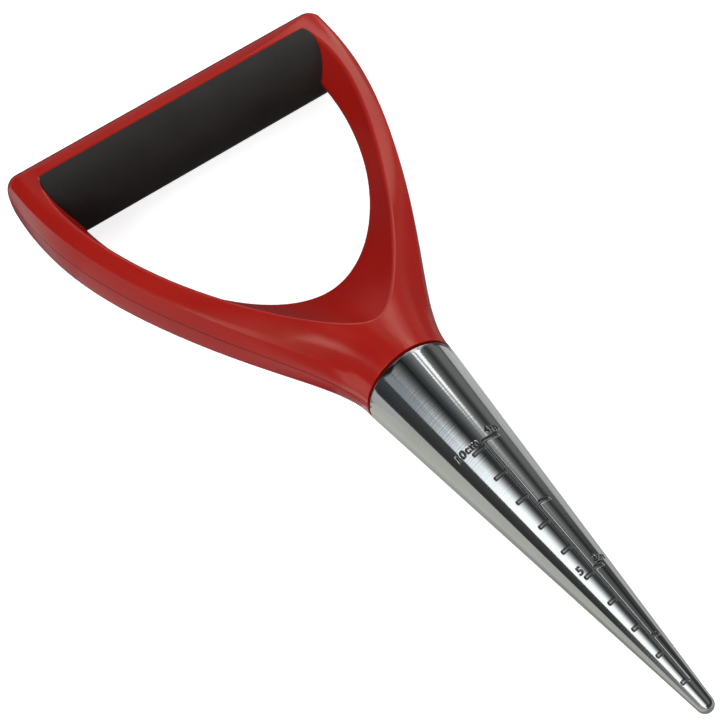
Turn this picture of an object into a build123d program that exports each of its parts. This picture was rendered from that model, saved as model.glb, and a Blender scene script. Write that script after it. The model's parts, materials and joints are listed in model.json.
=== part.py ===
from build123d import *
import math
import os

# Hand planter: a tapered metal cone with a sunk depth scale, bolted into a D-handle of two half shells.
# Millimetres. The tool lies on its back: X runs to the tip, Y along the crossbar, Z out of the front.
# A station is a distance from the tip, back along the tool's axis.

# Cone and its scale
cone_length = 140.2
collar_diameter = 31.8
tip_radius = 2.7
rim_bevel = 0.4
socket_wall = 4.4
socket_depth = 32.0
thread_depth = 30.0
mark_depth = 0.4
mark_width = 1.3
centimetre = 10.0
centimetre_marks = 10
inch = 25.4
inch_marks = 4
centimetre_tick_root = 1.1
inch_tick_root = 1.4
tick_growth = 0.0325

# Handle outline, an offset being a distance back along the axis from the collar
neck_gap = 0.4
neck_slope = 0.05
flare_offset = 31.8
flare_half_width = 27.2
flare_slope = 0.53
bar_offset = 137.1
bar_radius = 13.8
handle_width = 123.6
corner_radius = 5.0
level_offset = 121.8
waist_offset = 73.5
waist_run = 39.3
front_waist = 3.3
rear_waist = 0.0

# Arm section: a drafted side up to a crease, then a crowned front
crease_height_neck = 7.2
crease_height_bar = 10.4
front_crease_rise = 0.0
rear_crease_rise = 1.0
crease_run = 45.0
side_draft = 4.5
side_lean = 7.0
shoulder_lean_neck = 60.0
shoulder_lean_bar = 42.0
shoulder_fullness = 0.95
crown_run_neck = 9.9
crown_run_bar = 16.2

# Hand opening: a funnel from each face down to a narrow land at the joint plane,
# a margin being the arm left beside it at the bar
ridge_offset = 45.3
ridge_margin = 13.7
ridge_turn = 23.9
ridge_bulge = 4.0
ridge_reach = 46.0
ridge_land = 0.8
brim_offset = 13.5
brim_margin = 8.8
brim_turn = 20.7
brim_bulge = 15.0
brim_reach = 25.4
brim_excess = 1.1
strip_lead = 0.3
edge_round = 1.2
ridge_round = 0.9
rim_height = 4.0

# Shells and the bar's core
wall = 2.8
funnel_wall_drop = 2.0
joint_gap = 0.16
end_wall = 3.2
rib_thickness = 3.0
bar_core_wall = 2.8
bar_bore_end_wall = 2.1

# Grip
grip_thickness = 3.2
grip_clearance = 0.15

# Neck core
fit_clearance = 0.1
core_square = 15.0
core_reach = 14.4
flange_clearance = 0.4
flange_thickness = 3.8

# Fasteners
bolt_diameter = 8.0
bolt_length = 70.0
bolt_head_width = 13.0
bolt_head_height = 5.3
bolt_hole_diameter = 8.4
washer_diameter = 16.0
washer_thickness = 1.6
thread_clearance = 0.05
screw_diameter = 3.0
screw_length = 12.0
screw_head_diameter = 5.6
screw_head_height = 2.2
screw_recess_width = 0.9
screw_recess_depth = 1.2
screw_seat = 5.0
screw_well_clearance = 0.3
screw_boss_wall = 1.6
neck_screw_offset = 27.8
neck_screw_inset = 8.4
corner_screw_inset = 5.0

# Worked out from the sizes above
collar_radius = collar_diameter / 2
half_span = handle_width / 2
neck_end = cone_length + neck_gap
flare_station = cone_length + flare_offset
waist_station = cone_length + waist_offset
level_station = cone_length + level_offset
bar_station = cone_length + bar_offset
overall_length = bar_station + bar_radius
strip_station = bar_station + strip_lead
ridge_station = cone_length + ridge_offset
ridge_half_width = half_span - ridge_margin
brim_station = cone_length + brim_offset
brim_half_width = half_span - brim_margin
brim_rise = collar_radius + brim_excess
bar_core_radius = bar_radius - grip_thickness
bar_bore_radius = bar_core_radius - bar_core_wall
bar_bore_half_length = ridge_half_width - bar_bore_end_wall
socket_radius = collar_radius - socket_wall
socket_end = cone_length - socket_depth
flange_radius = collar_radius - wall - flange_clearance
flange_start = neck_end + end_wall + fit_clearance
flange_end = flange_start + flange_thickness
rib_start = flange_end + fit_clearance
core_end = cone_length + core_reach
bolt_seat = core_end + washer_thickness
keyway = core_square + 2 * fit_clearance
taper = (math.atan2(collar_radius, cone_length - tip_radius)
         - math.asin(tip_radius / math.hypot(cone_length - tip_radius, collar_radius)))


def cone_radius(station):
    return collar_radius - (cone_length - station) * math.tan(taper)


def ease(share):
    share = min(max(share, 0), 1)
    return share * share * (3 - 2 * share)


def hermite(share, start, start_rise, end, end_rise):
    square, cube = share ** 2, share ** 3
    return (start * (2 * cube - 3 * square + 1) + start_rise * (cube - 2 * square + share)
            + end * (3 * square - 2 * cube) + end_rise * (cube - square))


def half_width(station):
    if station < flare_station:
        span = flare_station - neck_end
        share = (station - neck_end) / span
        return hermite(share, collar_radius, neck_slope * span, flare_half_width, flare_slope * span)
    span = bar_station - flare_station
    share = min((station - flare_station) / span, 1)
    return hermite(share, flare_half_width, flare_slope * span, half_span, 0)


def half_depth(station, waist):
    level = ease((station - neck_end) / (level_station - neck_end))
    share = min(abs(station - waist_station) / waist_run, 1)
    return collar_radius + (bar_radius - collar_radius) * level - waist * (1 - share ** 2) ** 2


def arm_section(station, inset, waist, crease_rise):
    wide = half_width(station) - inset
    full_depth = half_depth(station, waist)
    deep = full_depth - inset
    spread = (half_width(station) - collar_radius) / (half_span - collar_radius)
    formed = ease((station - neck_end) / crease_run)
    crease = crease_height_neck + (crease_height_bar - crease_height_neck) * spread ** 2
    crease = (crease + crease_rise * formed) * deep / full_depth
    round_angle = math.asin(crease / deep)
    round_inset = deep * (1 - math.cos(round_angle))
    draft_inset = crease * math.tan(math.radians(side_draft))
    edge = wide - round_inset - (draft_inset - round_inset) * formed
    side_angle = round_angle + (math.radians(side_lean) - round_angle) * formed
    front_lean = shoulder_lean_neck + (shoulder_lean_bar - shoulder_lean_neck) * spread
    front_angle = round_angle + (math.radians(front_lean) - round_angle) * formed
    side_pull = 4 / 3 * math.tan(round_angle / 4) * deep
    round_pull = 4 / 3 * math.tan((math.pi / 2 - round_angle) / 4) * deep
    crown = wide - crown_run_neck - (crown_run_bar - crown_run_neck) * spread
    full_pull = min(shoulder_fullness * (deep - crease) / math.cos(front_angle),
                    (edge - crown) / math.sin(front_angle))
    front_pull = round_pull + (full_pull - round_pull) * formed
    side = Bezier((wide, 0), (wide, side_pull),
                  (edge + side_pull * math.sin(side_angle), crease - side_pull * math.cos(side_angle)),
                  (edge, crease))
    front = Bezier((edge, crease),
                   (edge - front_pull * math.sin(front_angle), crease + front_pull * math.cos(front_angle)),
                   (crown, deep), (0, deep))
    base = Line((-wide, 0), (wide, 0))
    face = make_face([base, side, front, mirror(front, Plane.YZ), mirror(side, Plane.YZ)])
    return Plane(origin=(-station, 0, 0), x_dir=(0, 1, 0), z_dir=(1, 0, 0)) * face


def bar_along_y(radius, half_length):
    return Pos(-bar_station, 0, 0) * Rot(90, 0, 0) * Cylinder(radius, 2 * half_length)


def half_form(start, inset, waist, crease_rise):
    # One half of the handle's outer form, taken in by the inset, from a station back to the bar
    stations = [start, (start + flare_station) / 2, flare_station]
    stations += [waist_station + waist_run * share for share in (-0.5, 0, 0.5, 1)]
    stations += [bar_station, overall_length]
    body = loft([arm_section(station, inset, waist, crease_rise) for station in stations])
    round_end = bar_along_y(bar_radius - inset, half_span - inset)
    round_end = fillet(round_end.edges().filter_by(GeomType.CIRCLE), corner_radius - inset)
    length = bar_station - start
    reach = Pos(-start - length / 2, 0, 0) * Box(length, 2 * handle_width, 4 * bar_radius)
    return body & (round_end + reach)


def round_bar(start, end, radius):
    # Round bar on the tool's axis between two stations
    return Pos(-(start + end) / 2, 0, 0) * Rot(0, 90, 0) * Cylinder(radius, end - start)


def block(start, end, width, depth):
    return Pos(-(start + end) / 2, 0, 0) * Box(end - start, width, depth)


def opening_outline(bottom, half, turn, bulge, reach, grow):
    # D outline: straight along the strip, one curve down each arm, tangent where they meet
    low, side, top = -bottom + grow, half + grow, -strip_station - grow
    arm = Bezier((top, side), (top + reach, side + bulge), (low, turn + grow), (low, 0))
    return make_face([Line((top, -side), (top, side)), arm, mirror(arm, Plane.XZ)])


def opening_half(grow, drop):
    # The hand opening in front of the joint plane, widened by grow and moved back by drop
    ridge = opening_outline(ridge_station, ridge_half_width, ridge_turn, ridge_bulge, ridge_reach, grow)
    brim = opening_outline(brim_station, brim_half_width, brim_turn, brim_bulge, brim_reach, grow)
    outlines = ((0, ridge), (ridge_land, ridge), (brim_rise, brim))
    return loft([Pos(0, 0, height - drop) * outline for height, outline in outlines], ruled=True)


def opening_space(clearance):
    # The hand opening through both halves, taken in by a clearance
    half = opening_half(-clearance, 0)
    return half + mirror(half, Plane.XY)


def upright(place, radius, bottom, top):
    return Pos(place[0], place[1], (bottom + top) / 2) * Cylinder(radius, top - bottom)


def turned_cone(inset):
    # Solid cone with a ball nose, taken in by the inset
    lean = inset / math.cos(taper)
    nose = tip_radius - inset
    tangent = (-tip_radius + nose * math.sin(taper), nose * math.cos(taper))
    half_turn = math.pi / 4 - taper / 2
    middle = (-tip_radius + nose * math.cos(half_turn), nose * math.sin(half_turn))
    rim = cone_length - rim_bevel
    rim_radius = cone_radius(rim) - lean
    outline = [ThreePointArc((-inset, 0), middle, tangent),
               Polyline(tangent, (-rim, rim_radius), (-cone_length, rim_radius - rim_bevel),
                        (-cone_length, 0), (-inset, 0))]
    return revolve(make_face(outline), Axis.X)


def scale_marks():
    last = max(centimetre * centimetre_marks, inch * inch_marks)
    marks = Pos(-(centimetre + last) / 2, 0) * SlotCenterToCenter(last - centimetre, mark_width)
    rows = (centimetre, centimetre_marks, centimetre_tick_root, -1), (inch, inch_marks, inch_tick_root, 1)
    for step, count, root, side in rows:
        for number in range(1, count + 1):
            length = root + tick_growth * step * number
            tick = SlotCenterToCenter(length, mark_width, rotation=90)
            marks += Pos(-step * number, side * length / 2) * tick
    return marks


def on_ridge(edge):
    # The curved edge where the funnel meets its narrow land
    level = all(abs((edge @ share).Z - ridge_land) < fit_clearance / 2 for share in (0, 0.5, 1))
    return level and edge.geom_type != GeomType.LINE


def shell_half(waist, crease_rise, post_radius):
    # Hollow half of the handle on the front side of the joint plane
    form = half_form(neck_end, 0, waist, crease_rise)
    opening = opening_half(0, 0)
    skin = form - opening
    rim = new_edges(form, opening, combined=skin).filter_by(lambda edge: (edge @ 0.5).Z > rim_height)
    skin = fillet(rim, edge_round)
    skin = fillet(skin.edges().filter_by(on_ridge), ridge_round)
    hollow = half_form(neck_end + end_wall, wall, waist, crease_rise) - opening_half(wall, funnel_wall_drop)
    hollow -= bar_along_y(bar_radius, half_span)
    posts = [upright(place, post_radius, 0, collar_radius) for place in screw_places]
    rib = block(rib_start, rib_start + rib_thickness, handle_width, collar_diameter)
    half = skin - hollow + (skin & (rib + posts)) + bar_along_y(bar_core_radius, brim_half_width)
    half -= bar_along_y(bar_bore_radius, bar_bore_half_length)
    half -= round_bar(neck_end, neck_end + end_wall, socket_radius)
    half -= block(rib_start, rib_start + rib_thickness, keyway, keyway)
    reach = joint_gap / 2 + collar_radius
    return half & Pos(-overall_length / 2, 0, reach) * Box(overall_length, handle_width, 2 * collar_radius)


screw_places = [(-station, side * offset)
                for station, offset in ((cone_length + neck_screw_offset, flare_half_width - neck_screw_inset),
                                        (bar_station, half_span - corner_screw_inset))
                for side in (-1, 1)]
screw_radius = screw_diameter / 2
screw_head_radius = screw_head_diameter / 2
screw_well_radius = screw_head_radius + screw_well_clearance
screw_end = screw_length - screw_seat

dibber_cone = turned_cone(0) - (extrude(scale_marks(), collar_diameter) - turned_cone(mark_depth))
dibber_cone -= round_bar(socket_end, cone_length, socket_radius)
dibber_cone -= round_bar(socket_end - thread_depth, socket_end, bolt_diameter / 2 + thread_clearance)

neck_core = round_bar(socket_end + fit_clearance, flange_start, socket_radius - fit_clearance)
neck_core += round_bar(flange_start, flange_end, flange_radius)
neck_core += block(flange_end, core_end, core_square, core_square)
neck_core -= round_bar(socket_end, core_end, bolt_hole_diameter / 2)

tie_washer = round_bar(core_end, bolt_seat, washer_diameter / 2)
tie_washer -= round_bar(core_end, bolt_seat, bolt_hole_diameter / 2)

bolt_head = extrude(RegularPolygon(bolt_head_width / 2, 6, major_radius=False), bolt_head_height)
tie_bolt = round_bar(bolt_seat - bolt_length, bolt_seat, bolt_diameter / 2)
tie_bolt += Pos(-bolt_seat, 0, 0) * Rot(0, -90, 0) * bolt_head

handle_front_shell = shell_half(front_waist, front_crease_rise, screw_radius + screw_boss_wall)
handle_rear_shell = shell_half(rear_waist, rear_crease_rise, screw_well_radius + screw_boss_wall)
handle_rear_shell = mirror(handle_rear_shell, Plane.XY)
screw_solids = []
for place in screw_places:
    handle_front_shell -= upright(place, screw_radius + thread_clearance, 0, screw_end + screw_boss_wall / 2)
    handle_rear_shell -= upright(place, screw_radius + fit_clearance, -screw_seat, 0)
    handle_rear_shell -= upright(place, screw_well_radius, -collar_diameter, -screw_seat)
    head_face = -screw_seat - screw_head_height
    screw = upright(place, screw_radius, -screw_seat, screw_end)
    screw += upright(place, screw_head_radius, head_face, -screw_seat)
    for turn in (0, 90):
        slot = Rot(0, 0, turn) * Box(screw_head_radius, screw_recess_width, 2 * screw_recess_depth)
        screw -= Pos(place[0], place[1], head_face) * slot
    screw_solids.append(screw)

grip_sleeve = bar_along_y(bar_radius, half_span) - bar_along_y(bar_core_radius + grip_clearance, half_span)
grip_sleeve &= opening_space(grip_clearance)

nodes = {
    "dibber_cone": dibber_cone,
    "neck_core": neck_core,
    "tie_washer": tie_washer,
    "tie_bolt": tie_bolt,
    "handle_front_shell": handle_front_shell,
    "handle_rear_shell": handle_rear_shell,
    "shell_screws": Compound(children=screw_solids),
    "grip_sleeve": grip_sleeve,
}
os.makedirs("parts", exist_ok=True)
for name, piece in nodes.items():
    export_step(Pos(overall_length / 2, 0, collar_radius) * piece, f"parts/{name}.step")
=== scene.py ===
import bpy
import bmesh
import json
import math
from mathutils import Matrix, Vector
from mathutils.bvhtree import BVHTree

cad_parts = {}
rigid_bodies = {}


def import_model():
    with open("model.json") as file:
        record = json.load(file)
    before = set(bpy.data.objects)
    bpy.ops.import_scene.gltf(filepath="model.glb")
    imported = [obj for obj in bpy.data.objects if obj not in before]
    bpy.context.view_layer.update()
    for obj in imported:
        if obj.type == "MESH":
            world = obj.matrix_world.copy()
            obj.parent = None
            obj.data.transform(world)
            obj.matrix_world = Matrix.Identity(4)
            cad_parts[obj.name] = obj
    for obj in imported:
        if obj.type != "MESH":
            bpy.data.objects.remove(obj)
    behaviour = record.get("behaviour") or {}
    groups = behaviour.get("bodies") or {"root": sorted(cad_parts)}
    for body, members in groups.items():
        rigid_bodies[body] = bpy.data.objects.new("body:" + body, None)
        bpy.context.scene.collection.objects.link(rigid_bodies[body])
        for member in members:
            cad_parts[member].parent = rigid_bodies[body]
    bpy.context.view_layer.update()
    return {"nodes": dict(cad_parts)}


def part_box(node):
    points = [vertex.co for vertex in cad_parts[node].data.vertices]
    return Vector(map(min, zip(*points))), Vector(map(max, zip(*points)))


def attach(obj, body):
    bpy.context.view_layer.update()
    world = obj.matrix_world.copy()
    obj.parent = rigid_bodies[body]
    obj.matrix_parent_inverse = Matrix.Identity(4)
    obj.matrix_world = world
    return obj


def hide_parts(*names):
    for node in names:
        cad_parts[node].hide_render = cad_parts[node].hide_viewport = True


# start from an empty scene
for leftOver in list(bpy.data.objects):
    bpy.data.objects.remove(leftOver)

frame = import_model()
nodes = frame["nodes"]
print("frame loaded:", ", ".join(sorted(nodes)))

white = (1.0, 1.0, 1.0, 1.0)
noiseMiddle = (0.3, 0.7)  # most of a noise lies between these


# small helpers

def newMaterial(name):
    mat = bpy.data.materials.new(name)
    mat.use_nodes = True
    tree = mat.node_tree
    tree.nodes.clear()
    out = tree.nodes.new("ShaderNodeOutputMaterial")
    shader = tree.nodes.new("ShaderNodeBsdfPrincipled")
    tree.links.new(shader.outputs["BSDF"], out.inputs["Surface"])
    return mat, tree, shader


def addNode(tree, kind, sockets=None, **settings):
    node = tree.nodes.new(kind)
    for key, value in settings.items():
        setattr(node, key, value)
    for key, value in (sockets or {}).items():
        node.inputs[key].default_value = value
    return node


def objectCoords(tree):
    return addNode(tree, "ShaderNodeTexCoord").outputs["Object"]


def colourMix(tree, factor, first, second):
    mix = addNode(tree, "ShaderNodeMix", data_type="RGBA")
    for socket, value in ((mix.inputs[0], factor), (mix.inputs[6], first), (mix.inputs[7], second)):
        if isinstance(value, bpy.types.NodeSocket):
            tree.links.new(value, socket)
        else:
            socket.default_value = value
    return mix.outputs[2]


def spread(tree, value, low, high, fromLow=0.0, fromHigh=1.0):
    ranged = addNode(tree, "ShaderNodeMapRange", {1: fromLow, 2: fromHigh, 3: low, 4: high})
    tree.links.new(value, ranged.inputs[0])
    return ranged.outputs[0]


def addBump(tree, shader, height, distance, normal=None):
    bump = addNode(tree, "ShaderNodeBump", {"Strength": 1.0, "Distance": distance})
    if normal is not None:
        tree.links.new(normal, bump.inputs["Normal"])
    tree.links.new(height, bump.inputs["Height"])
    tree.links.new(bump.outputs["Normal"], shader.inputs["Normal"])


def newGroup(name, scales, outputs):
    # a vector and named scales go in, values come out
    group = bpy.data.node_groups.new(name, "ShaderNodeTree")
    group.interface.new_socket("Vector", in_out="INPUT", socket_type="NodeSocketVector")
    for label in scales:
        group.interface.new_socket(label, in_out="INPUT", socket_type="NodeSocketFloat")
    for label in outputs:
        group.interface.new_socket(label, in_out="OUTPUT", socket_type="NodeSocketFloat")
    return group, group.nodes.new("NodeGroupInput"), group.nodes.new("NodeGroupOutput")


def placeGroup(tree, group, values, vector):
    node = tree.nodes.new("ShaderNodeGroup")
    node.node_tree = group
    for key, value in values.items():
        node.inputs[key].default_value = value
    tree.links.new(vector, node.inputs["Vector"])
    return node


def objectFrom(name, bm):
    mesh = bpy.data.meshes.new(name)
    bm.to_mesh(mesh)
    bm.free()
    obj = bpy.data.objects.new(name, mesh)
    bpy.context.scene.collection.objects.link(obj)
    return obj


def dress(obj, mat):
    if not obj.material_slots:
        obj.data.materials.append(mat)
    for slot in obj.material_slots:
        slot.material = mat


# moulded skin: slow colour drift, fine grain, and a height for the bump

mouldNoise = {
    "drift": {"Detail": 3.0, "Roughness": 0.55},
    "grain": {"Detail": 4.0, "Roughness": 0.6},
    "pits": {"Randomness": 1.0},
    "pitShare": 0.35,
}


def makeMouldGroup():
    group, start, end = newGroup("mouldedSkin", ("Drift Scale", "Grain Scale", "Pit Scale"),
                                 ("Drift", "Grain", "Height"))
    drift = addNode(group, "ShaderNodeTexNoise", mouldNoise["drift"])
    grain = addNode(group, "ShaderNodeTexNoise", mouldNoise["grain"])
    pits = addNode(group, "ShaderNodeTexVoronoi", mouldNoise["pits"], feature="SMOOTH_F1")
    for node, scale in ((drift, "Drift Scale"), (grain, "Grain Scale"), (pits, "Pit Scale")):
        group.links.new(start.outputs["Vector"], node.inputs["Vector"])
        group.links.new(start.outputs[scale], node.inputs["Scale"])
    height = addNode(group, "ShaderNodeMath", {1: mouldNoise["pitShare"]}, operation="MULTIPLY_ADD")
    group.links.new(pits.outputs["Distance"], height.inputs[0])
    group.links.new(grain.outputs["Fac"], height.inputs[2])
    group.links.new(drift.outputs["Fac"], end.inputs["Drift"])
    group.links.new(grain.outputs["Fac"], end.inputs["Grain"])
    group.links.new(height.outputs[0], end.inputs["Height"])
    return group


mouldedSkin = makeMouldGroup()


def placeSkin(tree, spec, coords):
    scales = {"Drift Scale": spec["driftScale"], "Grain Scale": spec["grainScale"],
              "Pit Scale": spec["pitScale"]}
    return placeGroup(tree, mouldedSkin, scales, coords)


redShell = {
    "deep": (0.350, 0.0085, 0.0060, 1.0),
    "main": (0.420, 0.0125, 0.0080, 1.0),
    "fleck": (0.435, 0.0160, 0.0105, 1.0),
    "fleckShare": 0.5, "fleckRange": (0.55, 0.8),
    "driftScale": 22.0, "grainScale": 2600.0, "pitScale": 900.0,
    "roughLow": 0.15, "roughHigh": 0.20,
    "ior": 1.49, "specular": 0.42, "sheen": (1.0, 0.90, 0.74, 1.0),
    "edgeRadius": 0.00025, "edgeSamples": 4, "bumpHeight": 0.0000010,
    # joint line: dust and painted shade, darker within a narrow band round the joint's height
    "seamDustAndShade": (0.045, 0.0040, 0.0030, 1.0), "seamShare": 0.8,
    "seamHeight": 0.0159, "seamHalf": 0.00010, "seamFade": 0.00030,
}


def makeRedPlastic():
    mat, tree, shader = newMaterial("redPolypropylene")
    coords = objectCoords(tree)
    skin = placeSkin(tree, redShell, coords)
    drift = spread(tree, skin.outputs["Drift"], 0.0, 1.0, *noiseMiddle)
    body = colourMix(tree, drift, redShell["deep"], redShell["main"])
    flecks = spread(tree, skin.outputs["Grain"], 0.0, redShell["fleckShare"], *redShell["fleckRange"])
    flecked = colourMix(tree, flecks, body, redShell["fleck"])
    # dust and painted shade along the joint between the two halves
    split = addNode(tree, "ShaderNodeSeparateXYZ")
    tree.links.new(coords, split.inputs[0])
    offset = addNode(tree, "ShaderNodeMath", {1: redShell["seamHeight"]}, operation="SUBTRACT")
    tree.links.new(split.outputs["Z"], offset.inputs[0])
    distance = addNode(tree, "ShaderNodeMath", operation="ABSOLUTE")
    tree.links.new(offset.outputs[0], distance.inputs[0])
    seamDustAndShade = spread(tree, distance.outputs[0], redShell["seamShare"], 0.0,
                  redShell["seamHalf"], redShell["seamFade"])
    tree.links.new(colourMix(tree, seamDustAndShade, flecked, redShell["seamDustAndShade"]), shader.inputs["Base Color"])
    rough = spread(tree, skin.outputs["Grain"], redShell["roughLow"], redShell["roughHigh"], *noiseMiddle)
    tree.links.new(rough, shader.inputs["Roughness"])
    shader.inputs["IOR"].default_value = redShell["ior"]
    shader.inputs["Specular IOR Level"].default_value = redShell["specular"]
    shader.inputs["Specular Tint"].default_value = redShell["sheen"]
    softEdge = addNode(tree, "ShaderNodeBevel", {"Radius": redShell["edgeRadius"]},
                       samples=redShell["edgeSamples"])
    addBump(tree, shader, skin.outputs["Height"], redShell["bumpHeight"], softEdge.outputs["Normal"])
    return mat


gripRubber = {
    "deep": (0.0084, 0.0072, 0.0066, 1.0),
    "main": (0.0138, 0.0120, 0.0108, 1.0),
    "bloom": (0.0250, 0.0222, 0.0204, 1.0),
    "bloomShare": 0.35, "bloomRange": (0.5, 0.8),
    "driftScale": 60.0, "grainScale": 2200.0, "pitScale": 1300.0,
    "roughLow": 0.52, "roughHigh": 0.68,
    "specular": 0.38, "sheen": 0.04, "sheenRough": 0.5,
    "bumpHeight": 0.00005,
}


def makeRubber():
    mat, tree, shader = newMaterial("blackRubber")
    skin = placeSkin(tree, gripRubber, objectCoords(tree))
    drift = spread(tree, skin.outputs["Drift"], 0.0, 1.0, *noiseMiddle)
    body = colourMix(tree, drift, gripRubber["deep"], gripRubber["main"])
    bloom = spread(tree, skin.outputs["Grain"], 0.0, gripRubber["bloomShare"], *gripRubber["bloomRange"])
    tree.links.new(colourMix(tree, bloom, body, gripRubber["bloom"]), shader.inputs["Base Color"])
    rough = spread(tree, skin.outputs["Grain"], gripRubber["roughLow"], gripRubber["roughHigh"], *noiseMiddle)
    tree.links.new(rough, shader.inputs["Roughness"])
    shader.inputs["Specular IOR Level"].default_value = gripRubber["specular"]
    shader.inputs["Sheen Weight"].default_value = gripRubber["sheen"]
    shader.inputs["Sheen Roughness"].default_value = gripRubber["sheenRough"]
    addBump(tree, shader, skin.outputs["Height"], gripRubber["bumpHeight"])
    return mat


corePlastic = {
    "deep": (0.010, 0.010, 0.010, 1.0),
    "main": (0.022, 0.022, 0.023, 1.0),
    "driftScale": 80.0, "grainScale": 1500.0, "pitScale": 800.0,
    "roughLow": 0.45, "roughHigh": 0.6,
    "bumpHeight": 0.00003,
}


def makeCorePlastic():
    mat, tree, shader = newMaterial("blackCorePlastic")
    skin = placeSkin(tree, corePlastic, objectCoords(tree))
    body = colourMix(tree, skin.outputs["Drift"], corePlastic["deep"], corePlastic["main"])
    tree.links.new(body, shader.inputs["Base Color"])
    rough = spread(tree, skin.outputs["Grain"], corePlastic["roughLow"], corePlastic["roughHigh"])
    tree.links.new(rough, shader.inputs["Roughness"])
    addBump(tree, shader, skin.outputs["Height"], corePlastic["bumpHeight"])
    return mat


# turned metal: rings round the X axis from the lathe, broken up by slow smears

turnNoise = {
    "rings": {"Detail": 3.0, "Roughness": 0.6},
    "smear": {"Detail": 4.0, "Roughness": 0.55},
}


def makeTurningGroup():
    group, start, end = newGroup("turnedRings", ("Ring Scale", "Smear Scale"), ("Rings", "Smear"))
    split = addNode(group, "ShaderNodeSeparateXYZ")
    group.links.new(start.outputs["Vector"], split.inputs[0])
    rings = addNode(group, "ShaderNodeTexNoise", turnNoise["rings"], noise_dimensions="1D")
    group.links.new(split.outputs["X"], rings.inputs["W"])
    group.links.new(start.outputs["Ring Scale"], rings.inputs["Scale"])
    smear = addNode(group, "ShaderNodeTexNoise", turnNoise["smear"])
    group.links.new(start.outputs["Vector"], smear.inputs["Vector"])
    group.links.new(start.outputs["Smear Scale"], smear.inputs["Scale"])
    group.links.new(rings.outputs["Fac"], end.inputs["Rings"])
    group.links.new(smear.outputs["Fac"], end.inputs["Smear"])
    return group


turnedRings = makeTurningGroup()


def placeRings(tree, spec):
    scales = {"Ring Scale": spec["ringScale"], "Smear Scale": spec["smearScale"]}
    return placeGroup(tree, turnedRings, scales, objectCoords(tree))


coneMetal = {
    "bright": (0.352, 0.364, 0.360, 1.0),
    "dull": (0.312, 0.322, 0.318, 1.0),
    "sunk": (0.200, 0.206, 0.203, 1.0),
    # painted shade colour for the mark edges and the figures' strokes
    "paintedMarkShade": (0.045, 0.045, 0.040, 1.0),
    "smearShare": 0.6, "ringShare": 0.25, "ringRange": (0.35, 0.65),
    "ringScale": 1500.0, "smearScale": 70.0,
    "roughLow": 0.07, "roughHigh": 0.11, "roughSunk": 0.26,
    "bumpHeight": 0.000007,
}


def makeConeMetal():
    mat, tree, shader = newMaterial("polishedConeMetal")
    turned = placeRings(tree, coneMetal)
    sunk = addNode(tree, "ShaderNodeAttribute", attribute_name="sunk").outputs["Fac"]
    # painted shade along the mark edges and in the figures
    paintedMarkShade = addNode(tree, "ShaderNodeAttribute", attribute_name="paintedMarkShade").outputs["Fac"]
    smears = spread(tree, turned.outputs["Smear"], 0.0, coneMetal["smearShare"], *noiseMiddle)
    rings = spread(tree, turned.outputs["Rings"], 0.0, coneMetal["ringShare"], *coneMetal["ringRange"])
    worn = addNode(tree, "ShaderNodeMath", operation="ADD", use_clamp=True)
    tree.links.new(smears, worn.inputs[0])
    tree.links.new(rings, worn.inputs[1])
    face = colourMix(tree, worn.outputs[0], coneMetal["bright"], coneMetal["dull"])
    marked = colourMix(tree, sunk, face, coneMetal["sunk"])
    # mix in the painted shade
    tree.links.new(colourMix(tree, paintedMarkShade, marked, coneMetal["paintedMarkShade"]), shader.inputs["Base Color"])
    shader.inputs["Metallic"].default_value = 1.0
    rough = spread(tree, turned.outputs["Smear"], coneMetal["roughLow"], coneMetal["roughHigh"], *noiseMiddle)
    roughSum = addNode(tree, "ShaderNodeMath", {1: coneMetal["roughSunk"]}, operation="MULTIPLY_ADD")
    tree.links.new(sunk, roughSum.inputs[0])
    tree.links.new(rough, roughSum.inputs[2])
    tree.links.new(roughSum.outputs[0], shader.inputs["Roughness"])
    addBump(tree, shader, turned.outputs["Rings"], coneMetal["bumpHeight"])
    return mat


fastenerSteel = {
    "bright": (0.560, 0.570, 0.575, 1.0),
    "dull": (0.380, 0.385, 0.380, 1.0),
    "ringScale": 9000.0, "smearScale": 260.0,
    "roughLow": 0.24, "roughHigh": 0.42,
    "bumpHeight": 0.000003,
}


def makeFastenerSteel():
    mat, tree, shader = newMaterial("zincPlatedSteel")
    smear = placeRings(tree, fastenerSteel).outputs["Smear"]
    dulled = spread(tree, smear, 0.0, 1.0, *noiseMiddle)
    face = colourMix(tree, dulled, fastenerSteel["bright"], fastenerSteel["dull"])
    tree.links.new(face, shader.inputs["Base Color"])
    shader.inputs["Metallic"].default_value = 1.0
    rough = spread(tree, smear, fastenerSteel["roughLow"], fastenerSteel["roughHigh"], *noiseMiddle)
    tree.links.new(rough, shader.inputs["Roughness"])
    addBump(tree, shader, smear, fastenerSteel["bumpHeight"])
    return mat


redPlastic = makeRedPlastic()
rubber = makeRubber()
coneFinish = makeConeMetal()
steel = makeFastenerSteel()
blackPlastic = makeCorePlastic()

for nodeName in ("handle_front_shell", "handle_rear_shell"):
    dress(nodes[nodeName], redPlastic)
dress(nodes["grip_sleeve"], rubber)
dress(nodes["neck_core"], blackPlastic)
for nodeName in ("tie_bolt", "tie_washer", "shell_screws"):
    dress(nodes[nodeName], steel)
print("frame pieces dressed")


# the cone with its sunk scale, stations counted from the tip in metres

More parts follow.
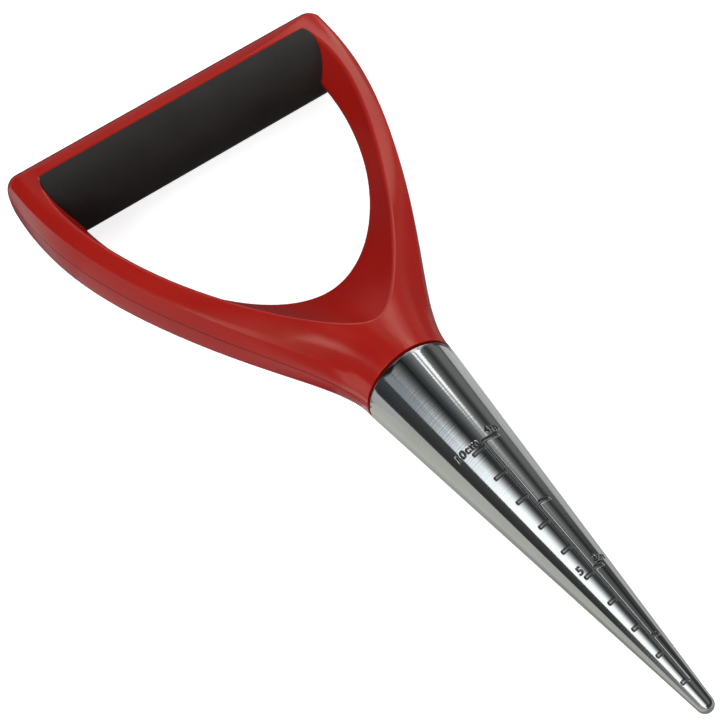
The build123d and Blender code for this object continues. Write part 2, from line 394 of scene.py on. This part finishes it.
cone = {
    "collarRadius": 0.0159, "noseRadius": 0.0027, "noseSteps": 12, "rimRound": 0.0010, "rimSteps": 6,
    "socketRadius": 0.0115, "socketDepth": 0.032,
    "markHalfWidth": 0.00055, "markCorner": 0.00030, "markDepth": 0.00042, "markWall": 0.00046,
    "centimetre": 0.010, "centimetreMarks": 10, "centimetreRoot": 0.0011,
    "inch": 0.0254, "inchMarks": 4, "inchRoot": 0.0014, "tickGrowth": 0.0325,
    "figureDepth": 0.00030, "figureWall": 0.00015, "figureSpacing": 1.12, "figureMargin": 0.0005,
    # painted shade: where it sits inside a mark's edge, how far it reaches, and its strength
    "paintedMarkShadePlace": -0.00015, "paintedMarkShadeReach": 0.00012, "paintedMarkShadeShare": 0.8,
    "fineRow": 0.00012, "coarseRow": 0.0012, "fineReach": 0.0011, "fineMargin": 0.0006,
    # round the axis, in degrees from the front: where each run ends and its steps
    "firstTurn": -58, "runs": ((-28, 44), (28, 98), (46, 26), (302, 48)),
    "markedTurn": 60, "sharpTurn": 35, "sharpReach": 0.033,
    "mergeGap": 1e-7, "skinGap": 1e-5,
}
# words, size, middle round the surface, baseline station
figures = (
    ("10cm", 0.0037, -0.0060, 0.1015),
    ("5", 0.0036, -0.0033, 0.0515),
    ("4in", 0.0034, 0.0046, 0.1032),
    ("2in", 0.0033, 0.0040, 0.0524),
)

coneLow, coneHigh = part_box("dibber_cone")
tipX = coneHigh.x
coneLength = coneHigh.x - coneLow.x
collarRadius = cone["collarRadius"]
axisZ = collarRadius
rimStation = coneLength - cone["rimRound"]
noseCentre = coneLength - cone["noseRadius"]
noseTurn = math.asin(cone["noseRadius"] / math.hypot(noseCentre, collarRadius))
taper = math.atan2(collarRadius, noseCentre) - noseTurn


def coneRadius(station):
    return collarRadius - (coneLength - station) * math.tan(taper)


def smooth(share):
    share = min(max(share, 0.0), 1.0)
    return share * share * (3 - 2 * share)


def figureTree(words, size):
    curve = bpy.data.curves.new("figure", "FONT")
    curve.body = words
    curve.size = size
    curve.space_character = cone["figureSpacing"]
    textObj = bpy.data.objects.new("figure", curve)
    bpy.context.scene.collection.objects.link(textObj)
    bpy.context.view_layer.update()
    mesh = bpy.data.meshes.new_from_object(textObj.evaluated_get(bpy.context.evaluated_depsgraph_get()))
    tree = BVHTree.FromPolygons([v.co for v in mesh.vertices], [list(p.vertices) for p in mesh.polygons])
    wide = max(v.co.x for v in mesh.vertices)
    tall = max(v.co.y for v in mesh.vertices)
    bpy.data.objects.remove(textObj)
    bpy.data.curves.remove(curve)
    bpy.data.meshes.remove(mesh)
    return tree, wide, tall


def boxGap(across, along, halfAcross, halfAlong):
    # distance outside a box with rounded corners, less than nothing inside it
    corner = cone["markCorner"]
    x, y = abs(across) - halfAcross + corner, abs(along) - halfAlong + corner
    return math.hypot(max(x, 0), max(y, 0)) + min(max(x, y), 0) - corner


def scaleTicks():
    # the station of each tick, and how far it reaches to the side
    ticks = []
    rows = ((cone["centimetre"], cone["centimetreMarks"], cone["centimetreRoot"], -1),
            (cone["inch"], cone["inchMarks"], cone["inchRoot"], 1))
    for step, count, root, side in rows:
        for number in range(1, count + 1):
            station = step * number
            ticks.append((station, side * (root + cone["tickGrowth"] * station)))
    return ticks


def scaleStencils():
    # each figure with its size, where it starts round the surface, and its baseline
    stencils = []
    for words, size, middle, baseline in figures:
        tree, wide, tall = figureTree(words, size)
        stencils.append((tree, wide, tall, middle - wide / 2, baseline))
    return stencils


def coneProfile(ticks, stencils):
    # stations and radii from the tip to the socket's bottom, close together only where something is sunk
    margin = cone["fineMargin"]

    def fineHere(station):
        if any(abs(station - place) < cone["fineReach"] for place, reach in ticks):
            return True
        return any(-margin < station - baseline < tall + margin
                   for tree, wide, tall, start, baseline in stencils)

    nose, rim = cone["noseRadius"], cone["rimRound"]
    profile = []
    for step in range(cone["noseSteps"] + 1):
        angle = (math.pi / 2 - taper) * step / cone["noseSteps"]
        profile.append((nose * (1 - math.cos(angle)), nose * math.sin(angle)))
    station = profile[-1][0] + cone["fineRow"]
    while station < rimStation - cone["coarseRow"]:
        profile.append((station, coneRadius(station)))
        fine = fineHere(station) or fineHere(station + cone["coarseRow"])
        station += cone["fineRow"] if fine else cone["coarseRow"]
    rimRadius = coneRadius(rimStation) - rim
    for step in range(cone["rimSteps"] + 1):
        angle = math.pi / 2 * step / cone["rimSteps"]
        profile.append((rimStation + rim * math.sin(angle), rimRadius + rim * math.cos(angle)))
    socketEnd = coneLength - cone["socketDepth"]
    profile.append((coneLength, cone["socketRadius"]))
    profile.append((socketEnd, cone["socketRadius"]))
    profile.append((socketEnd, 0.0))
    return profile


def spinProfile(profile):
    # more steps round the marked front than round the back
    bm = bmesh.new()
    fromTurn = cone["firstTurn"]
    turn = math.radians(fromTurn)
    chain = [bm.verts.new((tipX - s, r * math.sin(turn), axisZ + r * math.cos(turn))) for s, r in profile]
    last = chain + [bm.edges.new(pair) for pair in zip(chain, chain[1:])]
    for toTurn, steps in cone["runs"]:
        spun = bmesh.ops.spin(bm, geom=last, cent=(0, 0, axisZ), axis=(-1, 0, 0), dvec=(0, 0, 0),
                              angle=math.radians(toTurn - fromTurn), steps=steps, use_merge=False)
        last = spun["geom_last"]
        fromTurn = toTurn
    bmesh.ops.remove_doubles(bm, verts=bm.verts, dist=cone["mergeGap"])
    bmesh.ops.recalc_face_normals(bm, faces=bm.faces)
    return bm


def pressMarks(bm, ticks, stencils, flankStart):
    # press the rail, ticks and figures into the flank, with painted shade along the mark edges and over the
    # figures' strokes
    sunkLayer = bm.verts.layers.float.new("sunk")
    paintedMarkShadeLayer = bm.verts.layers.float.new("paintedMarkShade")
    half, wall, margin = cone["markHalfWidth"], cone["markWall"], cone["figureMargin"]
    railStart, railEnd = cone["centimetre"], max(station for station, reach in ticks)
    for vert in bm.verts:
        station = tipX - vert.co.x
        radius = math.hypot(vert.co.y, vert.co.z - axisZ)
        if not flankStart < station < rimStation or radius < coneRadius(station) - cone["skinGap"]:
            continue
        angle = math.atan2(vert.co.y, vert.co.z - axisZ)
        if abs(angle) > math.radians(cone["markedTurn"]):
            continue
        side, around = vert.co.y, angle * radius
        gap = boxGap(station - (railStart + railEnd) / 2, side, (railEnd - railStart) / 2 + half, half)
        for place, reach in ticks:
            gap = min(gap, boxGap(station - place, side - reach / 2, half, abs(reach) / 2 + half))
        share = smooth(0.5 - gap / wall)
        depth = cone["markDepth"] * share
        # painted shade: a dark line just inside each mark's edge
        paintedMarkShade = cone["paintedMarkShadeShare"] * math.exp(-((gap - cone["paintedMarkShadePlace"]) / cone["paintedMarkShadeReach"]) ** 2)
        for tree, wide, tall, start, baseline in stencils:
            flat = Vector((around - start, station - baseline, 0))
            if not (-margin < flat.x < wide + margin and -margin < flat.y < tall + margin):
                continue
            distance = tree.find_nearest(flat, cone["figureWall"])[3]
            if distance is not None:
                pressed = smooth(1 - distance / cone["figureWall"])
                depth = max(depth, cone["figureDepth"] * pressed)
                # painted shade: the figures' strokes are darkened all over
                paintedMarkShade = max(paintedMarkShade, pressed)
        outward = Vector((math.sin(taper), math.cos(taper) * math.sin(angle),
                          math.cos(taper) * math.cos(angle)))
        vert.co -= outward * depth
        vert[sunkLayer] = share
        vert[paintedMarkShadeLayer] = paintedMarkShade


def makeCone():
    ticks = scaleTicks()
    stencils = scaleStencils()
    profile = coneProfile(ticks, stencils)
    bm = spinProfile(profile)
    pressMarks(bm, ticks, stencils, profile[cone["noseSteps"]][0])
    for face in bm.faces:
        face.smooth = True
    # sharp edges only at the rim and in the socket
    for edge in bm.edges:
        nearSocket = all(tipX - v.co.x > coneLength - cone["sharpReach"] for v in edge.verts)
        if nearSocket and edge.calc_face_angle(0) > math.radians(cone["sharpTurn"]):
            edge.smooth = False
    piece = objectFrom("marked_cone", bm)
    dress(piece, coneFinish)
    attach(piece, "root")
    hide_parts("dibber_cone")
    print("cone:", len(piece.data.polygons), "faces")


makeCone()


# floor, light and camera

studio = {
    "floorHalf": 3.0, "floorTone": (0.58, 0.58, 0.58, 1.0), "floorPale": (0.5916, 0.5916, 0.5916, 1.0),
    "cloudScale": 3.0, "cloudDetail": 2.0, "floorRough": 0.9,
    "floorLift": 0.82, "floorMirror": 0.40, "fill": 0.40,
}


def whiteWhereSeen(tree, cameraLevel, mirrorLevel):
    # a level for rays that show the background: to the camera, and in metal and through glass
    path = addNode(tree, "ShaderNodeLightPath")
    mirrors = addNode(tree, "ShaderNodeMath", operation="MAXIMUM")
    tree.links.new(path.outputs["Is Glossy Ray"], mirrors.inputs[0])
    tree.links.new(path.outputs["Is Transmission Ray"], mirrors.inputs[1])
    inMirrors = addNode(tree, "ShaderNodeMath", {1: mirrorLevel}, operation="MULTIPLY")
    tree.links.new(mirrors.outputs[0], inMirrors.inputs[0])
    level = addNode(tree, "ShaderNodeMath", {1: cameraLevel}, operation="MULTIPLY_ADD")
    tree.links.new(path.outputs["Is Camera Ray"], level.inputs[0])
    tree.links.new(inMirrors.outputs[0], level.inputs[2])
    return level.outputs[0]


def makeFloor():
    bm = bmesh.new()
    bmesh.ops.create_grid(bm, x_segments=1, y_segments=1, size=studio["floorHalf"])
    floor = objectFrom("floor", bm)
    mat, tree, shader = newMaterial("paleFloor")
    cloud = addNode(tree, "ShaderNodeTexNoise",
                    {"Scale": studio["cloudScale"], "Detail": studio["cloudDetail"]})
    tree.links.new(objectCoords(tree), cloud.inputs["Vector"])
    tone = colourMix(tree, cloud.outputs["Fac"], studio["floorTone"], studio["floorPale"])
    tree.links.new(tone, shader.inputs["Base Color"])
    shader.inputs["Roughness"].default_value = studio["floorRough"]
    shader.inputs["Specular IOR Level"].default_value = 0.0
    shader.inputs["Emission Color"].default_value = white
    lift = whiteWhereSeen(tree, studio["floorLift"], studio["floorMirror"])
    tree.links.new(lift, shader.inputs["Emission Strength"])
    dress(floor, mat)


def makeWorld():
    world = bpy.data.worlds.new("studioAir")
    bpy.context.scene.world = world
    world.use_nodes = True
    tree = world.node_tree
    tree.nodes.clear()
    out = tree.nodes.new("ShaderNodeOutputWorld")
    air = addNode(tree, "ShaderNodeBackground", {"Color": white})
    level = spread(tree, whiteWhereSeen(tree, 1.0, 1.0), studio["fill"], 1.0)
    tree.links.new(level, air.inputs["Strength"])
    tree.links.new(air.outputs[0], out.inputs["Surface"])


# soft boxes: middle, size along X, height, radiance
softBoxes = {
    "leftBox": {"at": (0.45, -0.95, 0.75), "wide": 1.40, "tall": 0.69, "level": 3.55},
    "rightBox": {"at": (-0.20, 0.95, 0.80), "wide": 1.00, "tall": 0.45, "level": 4.4},
    "lowBox": {"at": (-0.45, 1.00, 0.36), "wide": 0.50, "tall": 0.30, "level": 3.6},
}


def makeSoftBox(name, spec):
    lamp = bpy.data.lights.new(name, "AREA")
    lamp.shape = "RECTANGLE"
    lamp.size, lamp.size_y = spec["wide"], spec["tall"]
    lamp.energy = spec["level"] * math.pi * spec["wide"] * spec["tall"]
    box = bpy.data.objects.new(name, lamp)
    bpy.context.scene.collection.objects.link(box)
    x, y, z = spec["at"]
    away = Vector((0, y, z)).normalized()
    lengthwise = Vector((1, 0, 0))
    turned = Matrix((lengthwise, away.cross(lengthwise), away)).transposed()
    box.matrix_world = Matrix.Translation((x, y, z)) @ turned.to_4x4()
    box.visible_camera = False
    box.visible_glossy = False


# a room of cards that only reflections see: the soft boxes' faces, and the cloth between them.
# each card spans two edges
room = {
    "back": -1.6, "front": 1.6, "left": -0.42, "eaves": -1.0, "right": 1.30, "top": 1.33,
    "hung": 1.325, "hungShare": 0.995, "ground": 0.0004,
}


def wallCard(side, low, high, *fades, run=None):
    # a card with its own run hangs just inside the wall
    y = room[side] * (room["hungShare"] if run else 1.0)
    first, last = run or (room["back"], room["front"])
    return {"edges": [((first, y, z), (last, y, z)) for z in (low, high)], "fades": fades}


def endCard(side, low, high, *fades, run=None):
    x = room[side] * (room["hungShare"] if run else 1.0)
    first, last = run or (room["eaves"], room["right"])
    return {"edges": [((x, first, z), (x, last, z)) for z in (low, high)], "fades": fades}


def topCard(nearY, farY, *fades, run=None, taperTo=None):
    # a card with its own run hangs just under the ceiling, and its far edge may run aslant
    z = room["hung"] if run else room["top"]
    first, last = run or (room["back"], room["front"])
    nearEdge = ((first, nearY, z), (last, nearY, z))
    farEdge = ((first, farY, z), (last, taperTo or farY, z))
    return {"edges": [nearEdge, farEdge], "fades": fades}


def groundCard(first, last, *fades, layer=1):
    # each end is an X and the two Y values that it runs between
    z = room["ground"] * layer
    return {"edges": [((x, nearY, z), (x, farY, z)) for x, nearY, farY in (first, last)], "fades": fades}


def flagCard(start, end, *fades):
    # a card that stands close beside the handle: each end is an X, a Y and the two heights it runs between
    lowEdge = [(x, y, low) for x, y, low, high in (start, end)]
    highEdge = [(x, y, high) for x, y, low, high in (start, end)]
    return {"edges": [lowEdge, highEdge], "fades": fades}


def tinted(colour, card):
    card["tint"] = colour + (1.0,)
    return card


coolCloth = (0.86, 1.00, 1.18)
coolGlow = (0.93, 1.00, 1.08)
coolTop = (0.95, 1.00, 1.05)
coolFeather = (0.98, 1.00, 1.02)
warmGround = (1.00, 1.00, 0.93)

# a fade has a direction, where it starts and ends along that, and the levels at the two ends
alongX, alongY, alongZ = (1, 0, 0), (0, 1, 0), (0, 0, 1)
clothFade = (alongZ, 0.045, 0.26, 0.08, 0.13)
glowFade = ((1, 0, 0.22), -0.111, -0.033, 0.60, 2.9)
flagFade = (alongZ, 0.03, 0.12, 0.03, 0.02)

cards = {
    "leftClothBack": tinted(coolCloth, wallCard(
        "left", 0.0, 0.292, clothFade, run=(room["back"], -0.165))),
    "leftClothFront": wallCard(
        "left", 0.0, 0.292, clothFade, (alongX, 0.0, 0.08, 1.0, 8.0), run=(-0.165, room["front"])),
    "leftGlowBack": tinted(coolGlow, wallCard(
        "left", 0.295, 0.575, glowFade, (alongX, -0.29, -0.245, 0.15, 1.0), run=(room["back"], -0.125))),
    "leftGlowFront": wallCard(
        "left", 0.295, 0.575, glowFade, run=(-0.125, room["front"])),
    "leftFeather": tinted(coolFeather, topCard(
        room["eaves"], -0.05, ((1, -0.2, 0), -0.41, -0.28, 0.60, 2.9),
        (alongY, -0.95, -0.05, 1.0, 0.05), (alongX, -0.80, -0.66, 0.25, 1.0))),
    "topCloth": tinted(coolTop, topCard(
        -0.05, 0.57, (alongY, -0.02, 0.57, 0.10, 0.46), (alongX, -0.50, -0.42, 1.0, 0.7))),
    "rightCeiling": topCard(
        0.57, room["right"], (alongY, 0.92, 1.28, 0.60, 0.25),
        (alongX, -0.56, -0.46, 1.4, 1.0), (alongX, -0.45, -0.39, 1.0, 0.55)),
    "thinGlow": topCard(
        0.585, 0.68, (alongX, -0.58, -0.49, 3.4, 0.6), run=(-0.80, -0.49)),
    "rightGlow": topCard(
        0.81, 1.22, (alongX, -0.64, -0.49, 3.3, 0.6), run=(-0.90, -0.49), taperTo=0.89),
    "cornerGlow": topCard(
        0.40, room["right"], ((0.5, 0.866, 0), -0.08, 0.14, 0.6, 2.2), run=(room["back"], -0.90)),
    "sideGlow": wallCard(
        "right", 0.25, 1.32, (alongX, -1.08, -0.95, 2.1, 0.2), (alongZ, 0.25, 0.55, 0.5, 1.0),
        run=(room["back"], -0.93)),
    "rightClothHigh": wallCard(
        "right", 0.80, room["top"], (alongZ, 0.85, 1.30, 0.085, 0.28)),
    "rightClothLow": wallCard(
        "right", 0.0, 0.80, (alongZ, 0.35, 0.80, 0.34, 0.085), (alongX, -0.46, -0.36, 1.0, 0.4)),
    "backCloth": endCard(
        "back", 0.0, 0.85, (alongZ, 0.0, 0.85, 0.16, 0.30), (alongY, -0.4, 0.4, 0.4, 1.0)),
    "backStrip": endCard(
        "back", 0.42, 1.00, (alongY, 0.30, 0.45, 0.6, 2.0), (alongZ, 0.42, 0.55, 0.4, 1.0),
        run=(0.30, 0.80)),
    "backGlow": endCard(
        "back", 0.85, room["top"], (alongY, -0.4, 0.6, 0.2, 0.6)),
    "frontCloth": endCard(
        "front", 0.0, room["top"], (alongZ, 0.0, 1.0, 0.16, 0.10)),
    "groundCloth": groundCard(
        (-0.30, -0.200, 0.300), (-0.012, -0.045, 0.045), ((-0.25, 1, 0), -0.030, -0.018, 0.30, 0.04),
        ((0.25, 1, 0), 0.018, 0.030, 1.0, 2.4), (alongX, -0.045, -0.015, 1.0, 1.6)),
    "coneGroundLeft": tinted(warmGround, groundCard(
        (-0.012, -0.20, 0.0), (0.50, -0.20, 0.0), (alongY, -0.028, -0.012, 1.05, 0.50))),
    "coneGroundRight": groundCard(
        (-0.012, 0.0, 0.157), (0.50, 0.0, 0.157), (alongY, 0.012, 0.060, 0.50, 0.92)),
    "leftGround": groundCard(
        (room["back"], -0.42, -0.20), (0.60, -0.42, -0.20), (alongY, -0.40, -0.25, 0.45, 0.90)),
    "rightGround": groundCard(
        (room["back"], 0.157, room["right"]), (0.60, 0.157, room["right"]),
        (alongY, 0.20, 0.60, 0.90, 0.40), (alongX, -0.16, -0.10, 0.25, 1.0), layer=2),
    "cornerGround": groundCard(
        (-0.30, -0.20, -0.0585), (-0.110, -0.20, -0.0585), ((-0.27, 1, 0), -0.0310, -0.0235, 0.50, 0.09),
        (alongX, -0.150, -0.112, 1.0, 0.48), layer=2),
    # painted shade: a dark card for the floor's shade next to the collar, seen only in reflections
    "collarShadeCard": groundCard(
        (-0.014, -0.030, -0.010), (-0.006, -0.030, -0.010), (alongX, -0.010, -0.006, 0.22, 0.30), layer=2),
    "rightFlag": flagCard(
        (-0.060, 0.066, 0.0, 0.032), (-0.013, 0.045, 0.0, 0.032), (alongZ, 0.0, 0.016, 0.35, 0.10)),
    "leftFlag": flagCard(
        (-0.060, -0.074, 0.0, 0.024), (-0.010, -0.035, 0.0, 0.024), (alongZ, 0.0, 0.016, 0.24, 0.10)),
    "armFlag": flagCard(
        (-0.26, -0.079, 0.034, 0.125), (-0.110, -0.079, 0.036, 0.125), flagFade),
    "neckFlag": flagCard(
        (-0.115, -0.078, 0.036, 0.230), (-0.026, -0.052, 0.044, 0.092), flagFade),
    "rearFlag": flagCard(
        (-0.22, -0.12, 0.0, 0.10), (-0.22, 0.155, 0.0, 0.10), (alongZ, 0.0, 0.10, 0.20, 0.17)),
    "armGlow": flagCard(
        (-0.30, 0.16, 0.07, 0.34), (-0.125, 0.16, 0.07, 0.20), (alongX, -0.180, -0.125, 1.75, 0.8)),
    "backFeather": topCard(
        -0.55, -0.05, (alongX, -0.98, -0.86, 0.38, 0.10), run=(room["back"], -0.86)),
    "neckGlow": topCard(
        0.12, 0.39, (alongX, -1.10, -0.98, 0.3, 0.65), run=(-1.10, -0.86)),
}


def fadeLevel(tree, coords, fades):
    # the product of the card's fades
    level = None
    for direction, fadeFrom, fadeTo, low, high in fades:
        place = addNode(tree, "ShaderNodeVectorMath", {1: direction}, operation="DOT_PRODUCT")
        tree.links.new(coords, place.inputs[0])
        fade = addNode(tree, "ShaderNodeMapRange", {1: fadeFrom, 2: fadeTo, 3: low, 4: high},
                       interpolation_type="SMOOTHSTEP")
        tree.links.new(place.outputs["Value"], fade.inputs[0])
        if level is None:
            level = fade.outputs[0]
        else:
            product = addNode(tree, "ShaderNodeMath", operation="MULTIPLY")
            tree.links.new(level, product.inputs[0])
            tree.links.new(fade.outputs[0], product.inputs[1])
            level = product.outputs[0]
    return level


def makeCard(name, spec):
    bm = bmesh.new()
    edges = [bm.edges.new([bm.verts.new(corner) for corner in edge]) for edge in spec["edges"]]
    bmesh.ops.bridge_loops(bm, edges=edges)
    card = objectFrom(name, bm)
    mat = bpy.data.materials.new(name)
    mat.use_nodes = True
    tree = mat.node_tree
    tree.nodes.clear()
    out = tree.nodes.new("ShaderNodeOutputMaterial")
    face = addNode(tree, "ShaderNodeEmission", {"Color": spec.get("tint", white)})
    tree.links.new(fadeLevel(tree, objectCoords(tree), spec["fades"]), face.inputs["Strength"])
    tree.links.new(face.outputs[0], out.inputs["Surface"])
    dress(card, mat)
    card.visible_camera = False
    card.visible_diffuse = False
    card.visible_shadow = False
    card.visible_transmission = False


makeFloor()
makeWorld()
for boxName, boxSpec in softBoxes.items():
    makeSoftBox(boxName, boxSpec)
for cardName, cardSpec in cards.items():
    makeCard(cardName, cardSpec)
print("studio set")

photoCamera = {
    "at": (0.350057, -0.175080, 0.531618),
    "right": (0.55569974, 0.82229566, -0.12258734),
    "up": (-0.61904732, 0.50767545, 0.59920452),
    "back": (0.55495785, -0.25709043, 0.79115504),
    "lens": 106.38, "sensor": 36.0, "near": 0.01,
}
cameraData = bpy.data.cameras.new("photoCamera")
cameraData.lens = photoCamera["lens"]
cameraData.sensor_width = photoCamera["sensor"]
cameraData.clip_start = photoCamera["near"]
cameraObj = bpy.data.objects.new("photoCamera", cameraData)
bpy.context.scene.collection.objects.link(cameraObj)
axes = Matrix((photoCamera["right"], photoCamera["up"], photoCamera["back"])).transposed()
cameraObj.matrix_world = Matrix.Translation(photoCamera["at"]) @ axes.to_4x4()
bpy.context.scene.camera = cameraObj
bpy.context.scene.view_settings.view_transform = "Standard"
print("camera set")
